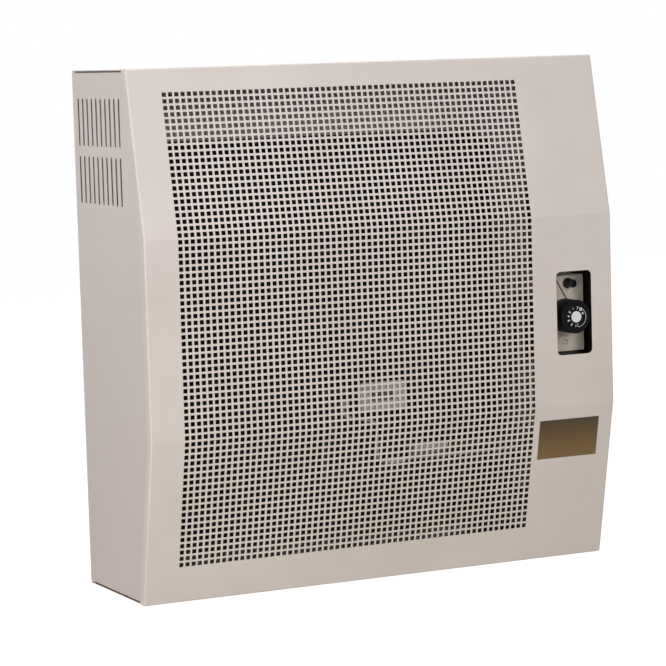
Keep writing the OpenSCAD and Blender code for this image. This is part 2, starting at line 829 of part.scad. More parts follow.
module burner_tube() color(plain_steel) difference() {
    rod_x(burner_y, burner_z, burner_r, burner_x0, burner_x1, round_fn);
    rod_x(burner_y, burner_z, burner_r - burner_wall, burner_x0 + burner_wall,
        burner_x1 - burner_wall, round_fn);
    for (i = [1:port_count])
        translate([burner_x0 + i * port_pitch, burner_y - mixing_r / 2, burner_z])
            cube([port_w, mixing_r, burner_r + through]);
    rod_y(injector_x, burner_z, mixing_r - mixing_wall, burner_y - burner_r - through, burner_y);
}

module burner_supports() color(plain_steel) difference() {
    for (x = support_x)
        box([x, burner_y - support_w / 2, shell_z0 + shell_t],
            [x + support_t, burner_y + support_w / 2, burner_z - burner_r / 3]);
    rod_x(burner_y, burner_z, burner_r, burner_x0, burner_x1, round_fn);
}

module mixing_tube() color(plain_steel) difference() {
    union() {
        rod_y(injector_x, burner_z, mixing_r, mixing_y, burner_y, round_fn);
        along_y([injector_x, mixing_y, burner_z])
            cylinder(r1 = mixing_mouth_r, r2 = mixing_r, h = mixing_mouth_l, $fn = round_fn);
    }
    along_y([injector_x, mixing_y, burner_z]) cylinder(r1 = mixing_mouth_r - mixing_wall,
        r2 = mixing_r - mixing_wall, h = mixing_mouth_l, $fn = round_fn);
    rod_y(injector_x, burner_z, mixing_r - mixing_wall, mixing_y, burner_y + through, round_fn);
    rod_x(burner_y, burner_z, burner_r, burner_x0, burner_x1, round_fn);
}

module gas_injector() color(brass) difference() {
    rod_y(injector_x, burner_z, injector_r, injector_y[0], injector_y[1]);
    rod_y(injector_x, burner_z, injector_bore_r, injector_y[0] - through, injector_y[1] + through);
}

// Block with its lower front edge cut away
module injector_holder() color(alloy) difference() {
    y0 = door_y - holder_d;
    z0 = burner_z - holder_h / 2;
    z1 = burner_z + holder_h / 2;
    across(holder_x, holder_x + holder_w) polygon([[door_y, z0], [y0 + holder_chamfer, z0],
        [y0, z0 + holder_chamfer], [y0, z1], [door_y, z1]]);
    rod_y(injector_x, burner_z, injector_r + hole_gap, injector_y[0], door_y + through);
    rod_x(pipe_y, burner_z, burner_pipe_r + hole_gap, injector_x, holder_x + holder_w + through);
}

module burner_pipe() color(dark_steel)
    bent_bar([[holder_x + holder_w - pipe_grip, pipe_y, burner_z], [outlet_x, pipe_y, burner_z],
        [outlet_x, pipe_y, valve_z0 - boss_h + pipe_grip / 5]], burner_pipe_r, bend_r);

// A union nut at each end of the burner's pipe
module pipe_nuts() color(brass) {
    difference() {
        rod_x(pipe_y, burner_z, pipe_nut_r, holder_x + holder_w, holder_x + holder_w + nut_l, 6);
        rod_x(pipe_y, burner_z, burner_pipe_r + hole_gap, holder_x, holder_x + 2 * holder_w);
    }
    difference() {
        rod_z(outlet_x, pipe_y, pipe_nut_r, valve_z0 - boss_h - nut_l, valve_z0 - boss_h, 6);
        rod_z(outlet_x, pipe_y, burner_pipe_r + hole_gap, valve_z0 - boss_h - nut_l - through,
            valve_z0);
    }
}

// ---- Pilot group ----

module pilot_bracket() color(soot_black) difference() {
    box([pilot_x - pilot_plate_w / 2 - 4, pilot_plate_y, pilot_z - pilot_plate_h / 2 + 5],
        [pilot_x + pilot_plate_w / 2 - 4, door_y, pilot_z + pilot_plate_h / 2 + 5]);
    rod_y(pilot_x, pilot_z, pilot_tip_r + hole_gap, pilot_plate_y - through, door_y + through);
    rod_y(probe_x, pilot_z, probe_r + hole_gap, pilot_plate_y - through, door_y + through);
    rod_y(pilot_x, spark_z, insulator_r + hole_gap, pilot_plate_y - through, door_y + through);
}

module pilot_burner() color(plain_steel) {
    half = pilot_block / 2;
    box([pilot_x - half, pilot_plate_y - pilot_block_d, pilot_z - half],
        [pilot_x + half, pilot_plate_y, pilot_z + half]);
    rod_y(pilot_x, pilot_z, pilot_tip_r, pilot_plate_y, shell_y0 + pilot_reach);
}

module thermocouple() color(copper) {
    rod_y(probe_x, pilot_z, probe_r, pilot_plate_y, shell_y0 + pilot_reach);
    rod_y(probe_x, pilot_z, probe_r + 1.5, pilot_plate_y - 8, pilot_plate_y, 6);
}

module electrode_insulator() color(ceramic_white) difference() {
    union() {
        rod_y(pilot_x, spark_z, insulator_r, pilot_plate_y - 10, shell_y0 + pilot_reach - 6);
        rod_y(pilot_x, spark_z, insulator_r + 1, pilot_plate_y - 3, pilot_plate_y);
    }
    rod_y(pilot_x, spark_z, electrode_r + hole_gap / 2, pilot_plate_y - 10 - through,
        shell_y0 + pilot_reach);
}

module spark_electrode() color(plain_steel)
    rod_y(pilot_x, spark_z, electrode_r, pilot_plate_y - electrode_l, shell_y0 + pilot_reach);

module pilot_tube() color(alloy)
    bent_bar([[pilot_port_x, pilot_port_y, valve_z0], [pilot_port_x, pilot_port_y, pilot_run_z],
        [pilot_port_x, run_y, pilot_run_z], [riser_x, run_y, pilot_run_z],
        [riser_x, run_y, pilot_z - pilot_step[0]], [pilot_x, run_y, pilot_z - pilot_step[1]],
        [pilot_x, run_y, pilot_z - pilot_block / 2]],
        pilot_tube_r, small_bend);

module thermocouple_lead() color(copper)
    bent_bar([[valve_x0, probe_port_y, probe_port_z], [probe_lead_x, probe_port_y, probe_port_z],
        [probe_lead_x, probe_port_y, probe_run_z], [probe_lead_x, run_y, probe_run_z],
        [probe_x, run_y, probe_run_z], [probe_x, run_y, pilot_z - probe_r - 1]],
        probe_lead_r, small_bend);

module ignition_lead() color(plastic_black)
    bent_bar([[igniter_x, bracket_y + bracket_t + igniter_l, igniter_z],
        [igniter_x, lead_y, igniter_z], [lead_x, lead_y, igniter_z],
        [lead_x, lead_y, spark_run_z], [lead_x, run_y, spark_run_z],
        [lead_rise_x, run_y, spark_run_z], [lead_rise_x, plug_y, spark_z],
        [pilot_x - electrode_r, plug_y, spark_z]],
        spark_lead_r, small_bend);

// Folded strip that holds the pilot tube off the door
module tube_clip() color(alloy) {
    z0 = pilot_run_z - pilot_tube_r - clip_t;
    z1 = pilot_run_z + pilot_tube_r + clip_t;
    y0 = run_y - pilot_tube_r - clip_t;
    across(clip_x, clip_x + clip_w) {
        translate([y0, z0]) square([clip_t, z1 - z0]);
        translate([y0, z0]) square([door_y - y0, clip_t]);
        translate([door_y - clip_t, z0 - clip_lip]) square([clip_t, clip_lip + clip_t]);
        translate([y0, z1 - clip_t]) square([door_y - y0, clip_t]);
    }
}

// ---- Flue ----

module flue_spigot() color(alloy) difference() {
    union() {
        rod_y(flue_x, flue_z, flue_r, shell_y1, flue_out, round_fn);
        rod_y(flue_x, flue_z, flue_flange_r, shell_y1, shell_y1 + flue_flange_t, round_fn);
    }
    rod_y(flue_x, flue_z, flue_r - spigot_wall, shell_y1 - through, flue_out + through, round_fn);
}

// Tray that is open towards the back panel
module air_box() color(zinc) difference() {
    box([air_box_x0, air_box_y0, air_box_z0], [air_box_x0 + air_box_w, -back_t, air_box_z1]);
    box([air_box_x0 + air_box_t, air_box_y0 + air_box_t, air_box_z0 + air_box_t],
        [air_box_x0 + air_box_w - air_box_t, through, air_box_z1 - air_box_t]);
    rod_y(flue_x, flue_z, flue_r, air_box_y0 - through, air_box_y0 + 2 * air_box_t, round_fn);
    box([flue_x - air_port[0] / 2, air_box_y0 - through, air_port_z],
        [flue_x + air_port[0] / 2, air_box_y0 + 2 * air_box_t, air_port_z + air_port[1]]);
}

module air_gasket() color(graphite) difference() {
    box([flue_x - air_port[0] / 2 - air_gasket_w, shell_y1, air_port_z - air_gasket_w],
        [flue_x + air_port[0] / 2 + air_gasket_w, air_box_y0, air_port_z + air_port[1] + air_gasket_w]);
    box([flue_x - air_port[0] / 2, shell_y1 - through, air_port_z],
        [flue_x + air_port[0] / 2, air_box_y0 + through, air_port_z + air_port[1]]);
}

module air_spigot() color(zinc) difference() {
    union() {
        rod_y(flue_x, flue_z, air_r, -back_t - air_flange_t, air_out, round_fn);
        rod_y(flue_x, flue_z, air_flange_r, -back_t - air_flange_t, -back_t, round_fn);
    }
    rod_y(flue_x, flue_z, air_r - spigot_wall, -back_t - air_flange_t - through,
        air_out + through, round_fn);
}

// ---- Controls ----

module heat_shield() color(soot_black) {
    box([shield_x, shell_y0, shell_z0], [shield_x + shield_t, -back_t, shield_z1]);
    box([shield_x, -back_t - shield_t, shell_z0], [shield_x + shield_foot, -back_t, shield_z1]);
}

module control_bracket() color(bracket_grey) difference() {
    union() {
        box([bracket_x0, bracket_y, bracket_z0], [bracket_x1, bracket_y + bracket_t, bracket_z1]);
        box([bracket_x1 - bracket_t, bracket_y, bracket_z0], [bracket_x1, -back_t, bracket_z1]);
        box([bracket_x1 - bracket_foot, -back_t - bracket_t, bracket_z0],
            [bracket_x1, -back_t, bracket_z1]);
    }
    rod_y(knob_x, knob_z, neck_r + fit_gap, bracket_y - through, valve_y + through, round_fn);
    rod_y(igniter_x, igniter_z, igniter_neck_r + hole_gap, bracket_y - through, valve_y + through);
    rod_y(capillary_in[0], capillary_in[1], capillary_r * 2, bracket_y - through,
        valve_y + through);
    for (p = bracket_screw_at)
        rod_y(p[0], p[1], bracket_screw_r + hole_gap, bracket_y - through, valve_y + through);
}

module bracket_screws() color(plain_steel) {
    for (p = bracket_screw_at)
        pan_screw_y(p[0], bracket_y, p[1], bracket_screw_r, bracket_screw_head_r,
            bracket_screw_head_h, bracket_screw_l);
}

module gas_valve() color(alloy) difference() {
    union() {
        translate([0, 0, valve_z0]) linear_extrude(height = valve_h) polygon([
            [valve_x0, valve_y], [valve_x1, valve_y], [valve_x1, valve_y + valve_d - valve_chamfer],
            [valve_x1 - valve_chamfer, valve_y + valve_d],
            [valve_x0 + valve_chamfer, valve_y + valve_d],
            [valve_x0, valve_y + valve_d - valve_chamfer]]);
        rod_y(knob_x, knob_z, neck_r, neck_y, valve_y + 1, round_fn);
        rod_z(outlet_x, pipe_y, burner_pipe_r + 3, valve_z0 - boss_h, valve_z0 + 1);
        rod_z(inlet_x, inlet_y, inlet_pipe_r + 3, valve_z0 - boss_h, valve_z0 + 1);
    }
    rod_y(knob_x, knob_z, stem_r + running_gap, neck_y - through, stem_bore_end);
    rod_y(knob_x, knob_z, plunger_r + running_gap, neck_y, plunger_bore_end);
    rod_z(outlet_x, pipe_y, burner_pipe_r + hole_gap, valve_z0 - boss_h - through,
        valve_z0 - boss_h + pipe_grip / 5);
    rod_z(inlet_x, inlet_y, inlet_pipe_r + hole_gap, valve_z0 - boss_h - through, valve_z0);
    for (p = bracket_screw_at)
        rod_y(p[0], p[1], bracket_screw_r + hole_gap, valve_y - through,
            bracket_y + bracket_screw_l + 1);
}

module inlet_nut() color(brass) difference() {
    rod_z(inlet_x, inlet_y, inlet_nut_r, valve_z0 - boss_h - inlet_nut_l, valve_z0 - boss_h, 6);
    rod_z(inlet_x, inlet_y, inlet_pipe_r + hole_gap, valve_z0 - boss_h - inlet_nut_l - through,
        valve_z0);
}

module gas_inlet_pipe() color(plain_steel) difference() {
    end_z = -inner_z + inlet_end_gap;
    union() {
        rod_z(inlet_x, inlet_y, inlet_pipe_r, end_z, valve_z0, round_fn);
        rod_z(inlet_x, inlet_y, inlet_thread_r, end_z, end_z + inlet_thread_l, round_fn);
    }
    rod_z(inlet_x, inlet_y, inlet_bore_r, end_z - through, valve_z0 + through, round_fn);
}

module valve_plunger() color(plain_steel)
    rod_y(knob_x, knob_z, plunger_r, stem_y1, stem_y1 + plunger_l);

// Round bar with a flat on its upper side
module stem_shape(r, y0, y1) {
    difference() {
        rod_y(knob_x, knob_z, r, y0, y1);
        box([knob_x - r - through, y0 - through, knob_z + stem_r - stem_flat],
            [knob_x + r + through, hub_back, knob_z + r + through]);
    }
}

module valve_stem() color(plain_steel) stem_shape(stem_r, stem_y0, stem_y1);

module control_knob() color(plastic_black) difference() {
    union() {
        difference() {
            along_y([knob_x, knob_y, knob_z]) {
                cylinder(r1 = knob_r - knob_chamfer, r2 = knob_r, h = knob_chamfer, $fn = round_fn);
                translate([0, 0, knob_chamfer])
                    cylinder(r = knob_r, h = knob_l - knob_chamfer, $fn = round_fn);
            }
            rod_y(knob_x, knob_z, knob_r - knob_wall, knob_y + knob_face_t, knob_back + through,
                round_fn);
        }
        rod_y(knob_x, knob_z, hub_r, knob_y + knob_face_t - 1, hub_back, round_fn);
    }
    stem_shape(stem_r, stem_y0, hub_back + through);
    rod_y(knob_x, knob_z, cap_r + hole_gap, knob_y - through, knob_y + cap_sink, round_fn);
}

module knob_cap() color(ceramic_white)
    rod_y(knob_x, knob_z, cap_r, knob_y + cap_sink - cap_t, knob_y + cap_sink, round_fn);

module igniter_body() color(plastic_black) difference() {
    union() {
        rod_y(igniter_x, igniter_z, igniter_r, valve_y, valve_y + igniter_l, round_fn);
        rod_y(igniter_x, igniter_z, igniter_neck_r, bracket_y, valve_y + 1);
    }
    rod_y(igniter_x, igniter_z, igniter_bore_r, bracket_y - through, igniter_bore_end);
}

module igniter_collar() color(plastic_black) difference() {
    rod_y(igniter_x, igniter_z, collar_r, bracket_y - collar_t, bracket_y);
    rod_y(igniter_x, igniter_z, igniter_bore_r, bracket_y - collar_t - through,
        bracket_y + through);
}

module igniter_button() color(plastic_black)
    rod_y(igniter_x, igniter_z, button_r, button_y0, button_y1);

module thermostat_bulb() color(copper)
    rod_x(bulb_y, bulb_z, bulb_r, bulb_x, bulb_x + bulb_l);

// Clips that hold the bulb off the back panel
module bulb_clips() color(zinc) difference() {
    for (x = [bulb_x + 12, bulb_x + bulb_l - 12]) {
        box([x, bulb_y - bulb_clip_h / 2, bulb_z - bulb_clip_h / 2],
            [x + bulb_clip_t, -back_t, bulb_z + bulb_clip_h / 2]);
        box([x, -back_t - bulb_clip_t, bulb_z - bulb_clip_h / 2],
            [x + bulb_clip_h, -back_t, bulb_z + bulb_clip_h / 2]);
    }
    rod_x(bulb_y, bulb_z, bulb_r + hole_gap, bulb_x - through, bulb_x + bulb_l + through);
}

module thermostat_capillary() color(copper)
    bent_bar([[bulb_x, bulb_y, bulb_z], [capillary_x, bulb_y, bulb_z],
        [capillary_x, bulb_y, capillary_in[1] + capillary_rise],
        [capillary_in[0] + capillary_drift * capillary_rise, capillary_y,
            capillary_in[1] + capillary_rise],
        [capillary_in[0], capillary_y, capillary_in[1]], [capillary_in[0], valve_y, capillary_in[1]]],
        capillary_r, 2);

front_panel();
front_grille();
left_side_panel();
right_side_panel();
top_panel();
bottom_panel();
nameplate();
cover_screws();
back_panel();
hanger_brackets();
heat_exchanger();
burner_door();
door_gasket();
door_screws();
sight_frame();
sight_glass();
sight_screws();
burner_tube();
burner_supports();
mixing_tube();
gas_injector();
injector_holder();
burner_pipe();
pipe_nuts();
pilot_bracket();
pilot_burner();
pilot_tube();
thermocouple();
thermocouple_lead();
electrode_insulator();
spark_electrode();
ignition_lead();
tube_clip();
flue_spigot();
air_box();
air_gasket();
air_spigot();
heat_shield();
control_bracket();
bracket_screws();
gas_valve();
inlet_nut();
gas_inlet_pipe();
valve_plunger();
valve_stem();
control_knob();
knob_cap();
igniter_body();
igniter_collar();
igniter_button();
thermostat_bulb();
bulb_clips();
thermostat_capillary();
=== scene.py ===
"""Looks for a wall mounted gas convector heater: paint, metals, the perforated front and the dial.

Everything is in metres, in the CAD frame: X to the right seen from the room, Y into the wall,
Z up, with the origin at the centre of the wall fixing holes.
"""
import json
import math

import bpy
import numpy as np
from mathutils import Euler, Matrix, Vector

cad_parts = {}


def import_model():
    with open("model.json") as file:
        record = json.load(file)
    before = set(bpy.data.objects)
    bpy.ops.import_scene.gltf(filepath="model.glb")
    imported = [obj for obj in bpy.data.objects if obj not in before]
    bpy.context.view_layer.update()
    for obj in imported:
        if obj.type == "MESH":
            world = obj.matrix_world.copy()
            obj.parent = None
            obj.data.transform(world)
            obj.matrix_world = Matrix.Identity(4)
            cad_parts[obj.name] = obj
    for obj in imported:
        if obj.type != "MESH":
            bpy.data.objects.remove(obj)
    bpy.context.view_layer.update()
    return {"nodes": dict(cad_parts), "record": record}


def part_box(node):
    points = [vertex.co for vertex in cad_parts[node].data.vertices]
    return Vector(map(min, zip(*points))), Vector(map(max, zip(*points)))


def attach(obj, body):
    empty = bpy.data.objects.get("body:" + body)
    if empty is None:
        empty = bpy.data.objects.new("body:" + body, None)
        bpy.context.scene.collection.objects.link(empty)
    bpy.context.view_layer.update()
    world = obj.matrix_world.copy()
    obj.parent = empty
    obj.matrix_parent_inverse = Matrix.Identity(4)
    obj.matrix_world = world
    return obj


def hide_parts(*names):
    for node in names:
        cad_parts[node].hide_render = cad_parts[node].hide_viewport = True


MM = 0.001

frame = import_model()

# ---- Sheet, perforation and folds ----
HOLE_PITCH = 8 * MM
HOLE_SIDE = 5.3 * MM  # looks as wide as in the photo; 5 mm in the solids
BEND_Z = 120 * MM
SHEET = 1 * MM
FOLD_R = 2.2 * MM
BEND_SOFT = 0.7 * MM  # half the length over which each bend of the front turns
RETURN_W = 12 * MM
WINDOW_R = 6 * MM
WINDOW_RIM = 3 * MM  # flat strip round the window, left clear of the grid
WINDOW_LIP = 0.25 * MM
WINDOW = (237 * MM, 288 * MM, -56 * MM, 49.5 * MM)  # left, right, bottom and top
FOLD_STEPS = 6  # faces round the fold, and round each corner of the front
CORNER_STEPS = 5
SHARP_R = 0.01 * MM  # radius of a corner that is as good as sharp
SAME_PLACE = 1e-7

# ---- Dial ----
# Places and bulges are an angle clockwise from the top, in degrees, and a radius
DIGIT_H = 3.1 * MM
DIGIT_SHARE = 0.72  # a digit's height over the font's size
DIGIT_BOLD = 0.19 * MM
DIGITS = {"1": (184, 11.1 * MM), "2": (216, 11.4 * MM), "3": (249, 11.6 * MM),
          "4": (276, 11.0 * MM), "5": (305, 11.2 * MM), "6": (338, 10.7 * MM),
          "7": (10, 11.0 * MM)}
RING_AT = (36, 11.5 * MM)
RING_RADII = (0.8 * MM, 2.2 * MM)
RING_STEPS = 36
STAR_AT = (67, 10.3 * MM)
STAR_RADII = (1.9 * MM, 0.9 * MM)  # at the tips and between them
STAR_MIDDLE = 0.02 * MM
STAR_TIPS = 5
ARC_FROM = (42, 12.9 * MM)
ARC_TO = (166, 13.4 * MM)
ARC_BULGE = (0, 1.2 * MM)
ARC_STEPS = 30
HOOK_TO = (163, 8.8 * MM)
HOOK_BULGE = (6, 0)
HOOK_STEPS = 10
STROKE_HALF = 0.27 * MM
PRINT_T = 0.05 * MM

# ---- Edges ----
SHARP_ANGLE = math.radians(30)  # shading breaks at steeper edges than this
BEVEL_ANGLE = math.radians(35)  # and a bevel rounds steeper ones than this
WELD = 0.01 * MM  # vertices closer than this become one before the bevel
SOFT_EDGES = {
    "control_knob": 0.6 * MM, "knob_cap": 0.4 * MM, "igniter_button": 0.5 * MM,
    "igniter_collar": 0.4 * MM, "sight_frame": 0.5 * MM, "injector_holder": 0.6 * MM,
    "gas_valve": 0.8 * MM, "control_bracket": 0.2 * MM, "nameplate": 0.15 * MM,
    "pipe_nuts": 0.4 * MM, "inlet_nut": 0.6 * MM, "pilot_burner": 0.3 * MM,
    "burner_door": 0.3 * MM}
SCREW_DOME = 1.5 * MM  # bevel that gives the bracket's screws their pan heads
DOME_SEGMENTS = 5

# ---- Camera, from the hole grid and the cabinet's corners ----
CAMERA_AT = (-1.5215, -3.2016, 0.3370)
CAMERA_TURN = (84.110, 1.661, -26.012)
LENS_MM = 149.17
SENSOR_MM = 36
VIEW_REACH = 60  # how far the camera sees, in metres

# ---- Light and floor ----
# A lamp is its place, the side of its square in metres and its power in watts
LAMPS = {"key": ((-2.1, -1.8, 0.5), 2.6, 51.5),
         "fill": ((0.3, -3.4, 0.9), 1.0, 26),
         "top": ((0.2, 0.6, 3.4), 3.0, 97)}
SURROUND_LIGHT = 0.17  # strength of the world where it lights the heater
WHITE = (1, 1, 1, 1)
BLACK = (0, 0, 0, 1)
FLOOR_GLOW = (0.92, 0.92, 0.92, 1)
FLOOR_Z = -1.25
FLOOR_REACH = 14


def srgb(r, g, b):
    """Linear colour of an 8-bit sRGB one."""
    return tuple(((c / 255 + 0.055) / 1.055) ** 2.4 for c in (r, g, b)) + (1.0,)


# ---- Shader building ----


class Val:
    """A shader value that takes part in arithmetic."""

    def __init__(self, tree, socket):
        self.tree = tree
        self.socket = socket

    def _math(self, operation, first, second):
        return self.tree.node("ShaderNodeMath", {"operation": operation}, first, second)

    def __add__(self, other):
        return self._math("ADD", self, other)

    def __sub__(self, other):
        return self._math("SUBTRACT", self, other)

    def __rsub__(self, other):
        return self._math("SUBTRACT", other, self)

    def __mul__(self, other):
        return self._math("MULTIPLY", self, other)

    def __truediv__(self, other):
        return self._math("DIVIDE", self, other)

    def __rtruediv__(self, other):
        return self._math("DIVIDE", other, self)

    __radd__ = __add__
    __rmul__ = __mul__

    def between(self, low, high, to_low=0.0, to_high=1.0):
        """Maps low..high to to_low..to_high, smoothly, and holds the ends."""
        return self.tree.node("ShaderNodeMapRange", {"interpolation_type": "SMOOTHSTEP"},
                              self, low, high, to_low, to_high)


class Tree:
    """The nodes of one material, or of the world, under construction."""

    def __init__(self, data):
        self.data = data
        self.data.use_nodes = True
        self.nodes = data.node_tree.nodes
        self.links = data.node_tree.links
        self.nodes.clear()

    def node(self, kind, settings, *inputs, at=None, out=0, **named):
        """Adds a node and returns one of its outputs, if it has any.

        Its inputs are filled in order, by number where at gives one, and by name.
        """
        made = self.nodes.new(kind)
        for key, value in settings.items():
            setattr(made, key, value)
        for key, value in [*enumerate(inputs), *(at or {}).items(), *named.items()]:
            socket = made.inputs[key.replace("_", " ") if isinstance(key, str) else key]
            if isinstance(value, Val):
                self.links.new(value.socket, socket)
            else:
                socket.default_value = value
        return Val(self, made.outputs[out]) if made.outputs else None

    def mix(self, factor, a, b):
        """Colour a where factor is 0 and b where it is 1."""
        return self.node("ShaderNodeMix", {"data_type": "RGBA"}, factor, at={6: a, 7: b}, out=2)

    def seen_directly(self):
        """1 for rays from the camera, and for those by way of gloss or glass."""
        camera, gloss, glass = (self.node("ShaderNodeLightPath", {}, out="Is " + kind + " Ray")
                                for kind in ("Camera", "Glossy", "Transmission"))
        return (camera + gloss + glass).between(0, 1)


class Mat(Tree):
    """One material, laid out in the place of each piece in the CAD frame."""

    def __init__(self, name):
        super().__init__(bpy.data.materials.new(name))
        self.place = self.node("ShaderNodeTexCoord", {}, out="Object")

    def axis(self, name):
        """X, Y or Z in metres."""
        return self.node("ShaderNodeSeparateXYZ", {}, self.place, out=name)

    def noise(self, scale, detail, finer=None):
        """Noise from 0 to 1 with scale features a metre, and so many times more along X, Y, Z."""
        vector = self.place
        if finer:
            vector = self.node("ShaderNodeVectorMath", {"operation": "MULTIPLY"}, vector, finer)
        return self.node("ShaderNodeTexNoise", {}, Vector=vector, Scale=scale, Detail=detail)

    def bump(self, height, strength, depth):
        """The normal over a height from 0 to 1 that stands for so many metres."""
        return self.node("ShaderNodeBump", {}, Height=height, Strength=strength,
                         Distance=depth, out="Normal")


def close(mat, shader):
    """Wires a shader into the material's output."""
    mat.node("ShaderNodeOutputMaterial", {}, Surface=shader)
    return mat.data


def principled(mat, **inputs):
    """Closes a material with one Principled shader."""
    return close(mat, mat.node("ShaderNodeBsdfPrincipled", {}, **inputs))


# ---- Materials ----

MOST = (0.3, 0.7)  # between these lie most values of a noise
# Dark primer for the inside of the cabinet, dark enough to stand in as painted shade there
SHADE_PRIMER = srgb(48, 38, 30), srgb(70, 57, 47)
SHADE_PRIMER_EDGE = 0.1 * MM  # half the width over which paint turns to the dark primer of painted shade
FRESH = srgb(219, 208, 202), srgb(226, 216, 211)
# Paint at the foot of the front: warmer and a little darker than at the top
LOW_FRONT = srgb(214, 201, 189), srgb(222, 210, 199)
# Paint at the foot of the sides: darker still, painted shade low on the side sheets
LOW_SIDE_SHADED = srgb(203, 188, 180), srgb(211, 197, 190)
BROWN_BAND = (11 * MM, 14 * MM)  # above the heat exchanger's lower edge, where the brown ends
HEATED = (0.02, 0.14)  # along X, where the copper turns from black to brown
CAP_STRIPES = 2600  # radians a metre


def casing_paint(name="casing_paint", axis=None, face=0.0, low_tone=LOW_FRONT):
    """Off-white enamel that turns warmer and a little darker towards the bottom; where the low
    tone is darker still, as on the side sheets, that is painted shade.

    With an axis, what lies closer to the middle than face is the dark inner side: primer that also
    stands in as painted shade inside the cabinet.
    """
    m = Mat(name)
    cloud = m.noise(9, detail=3)
    grain = m.noise(420, detail=2)
    tone = (cloud * 0.7 + grain * 0.3).between(*MOST)
    # Colour runs from the top tone to the low tone; on the side sheets this darkening is painted
    # shade
    lowness = m.axis("Z").between(-TOP_Z, TOP_Z, 1, 0)
    colour = m.mix(lowness, m.mix(tone, *FRESH), m.mix(tone, *low_tone))
    if axis:
        from_middle = m.node("ShaderNodeMath", {"operation": "ABSOLUTE"}, m.axis(axis))
        inner = from_middle.between(face - SHADE_PRIMER_EDGE, face + SHADE_PRIMER_EDGE, 1, 0)
        colour = m.mix(inner, colour, m.mix(cloud, *SHADE_PRIMER))
    return principled(
        m, Base_Color=colour,
        Roughness=cloud.between(*MOST, 0.40, 0.50), Specular_IOR_Level=0.4,
        Normal=m.bump(m.noise(700, detail=2), strength=0.12, depth=0.12 * MM))


def inner_primer():
    """Dark primer on the inner side of the front, which also stands in as painted shade behind the
    perforation.
    """
    m = Mat("inner_primer")
    cloud = m.noise(30, detail=3)
    return principled(m, Base_Color=m.mix(cloud, *SHADE_PRIMER), Specular_IOR_Level=0.3,
                      Roughness=cloud * 0.1 + 0.6)


def hole_dust():
    """Near-black on the punched walls of the holes: painted shade where the walls stand in shadow.
    """
    m = Mat("hole_dust")
    shade_mottle = m.noise(500, detail=3)
    # Painted shade: the walls are near black, with a faint mottle
    return principled(m, Base_Color=m.mix(shade_mottle, srgb(26, 23, 21), srgb(44, 40, 36)),
                      Specular_IOR_Level=0.2, Roughness=shade_mottle * 0.1 + 0.7)


def bracket_paint():
    """Pale satin enamel on the bracket behind the window, painted lighter than its own colour as
    painted light for the dim recess.
    """
    m = Mat("bracket_paint")
    cloud = m.noise(40, detail=4)
    return principled(
        # Painted light: these colours are lighter than the bracket's paint, to make up for the
        # light the recess lacks
        m, Base_Color=m.mix(cloud, srgb(240, 229, 212), srgb(249, 239, 223)),
        Roughness=cloud.between(*MOST, 0.42, 0.55),
        Normal=m.bump(m.noise(900, detail=2), strength=0.15, depth=0.1 * MM))


def plate_brass():
    """Dull brushed brass, painted darker towards the plate's top and lighter towards its foot, as
    painted shade and painted light.
    """
    m = Mat("plate_brass")
    z = m.axis("Z")
    low, high = (corner.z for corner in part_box("nameplate"))
    height = (z - low) / (high - low)
    streak = m.noise(60, detail=4, finer=(1, 1, 30))
    # Painted shade and light: the tone darkens with height, as the light falls on the plate
    tone = height + streak * 0.4 - 0.2
    return principled(
        m, Base_Color=m.mix(tone, srgb(112, 87, 47), srgb(62, 49, 29)), Metallic=0.4,
        Roughness=streak.between(*MOST, 0.42, 0.6),
        Normal=m.bump(streak, strength=0.1, depth=0.05 * MM))


def galvanised():
    """Zinc coating with its faint spangle."""
    m = Mat("galvanised")
    flake = m.node("ShaderNodeTexVoronoi", {}, Vector=m.place, Scale=130.0, out="Distance")
    cloud = m.noise(25, detail=3)
    tone = (flake * 0.6 + cloud * 0.6).between(0.2, 0.9)
    return principled(
        m, Base_Color=m.mix(tone, srgb(166, 167, 167), srgb(198, 198, 197)), Metallic=0.35,
        Roughness=cloud.between(*MOST, 0.42, 0.58),
        Normal=m.bump(flake, strength=0.08, depth=0.1 * MM))


def brushed(name, dark, light, metallic, rough):
    """Bare metal with fine streaks along X."""
    m = Mat(name)
    streak = m.noise(90, detail=4, finer=(1, 30, 30))
    cloud = m.noise(30, detail=3)
    tone = (streak * 0.6 + cloud * 0.4).between(*MOST)
    return principled(
        m, Base_Color=m.mix(tone, dark, light), Metallic=metallic,
        Roughness=streak.between(*MOST, rough - 0.06, rough + 0.08),
        Normal=m.bump(streak, strength=0.08, depth=0.05 * MM))


def probe_copper():
    """Drawn copper with streaks along Z, blackened by heat on the burner's side."""
    m = Mat("probe_copper")
    streak = m.noise(90, detail=4, finer=(30, 30, 1))
    cool = m.axis("X").between(*HEATED)
    colour = m.mix(streak, srgb(122, 104, 88), srgb(152, 132, 114))
    return principled(
        m, Base_Color=m.mix(cool, srgb(34, 28, 24), colour), Metallic=0.4,
        Roughness=streak.between(*MOST, 0.4, 0.55),
        Normal=m.bump(streak, strength=0.08, depth=0.05 * MM))


def stove_black():
    """Matt black, brown along the heat exchanger's lower edge."""
    m = Mat("stove_black")
    cloud = m.noise(14, detail=4)
    grain = m.noise(600, detail=2)
    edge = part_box("heat_exchanger")[0].z
    low_brown = m.axis("Z").between(edge + BROWN_BAND[0], edge + BROWN_BAND[1], 1, 0)
    colour = m.mix(cloud, srgb(8, 5, 4), srgb(15, 11, 9))
    return principled(
        m, Base_Color=m.mix(low_brown, colour, srgb(57, 42, 34)), Specular_IOR_Level=0.12,
        Roughness=cloud.between(*MOST, 0.6, 0.75),
        Normal=m.bump(grain, strength=0.2, depth=0.1 * MM))


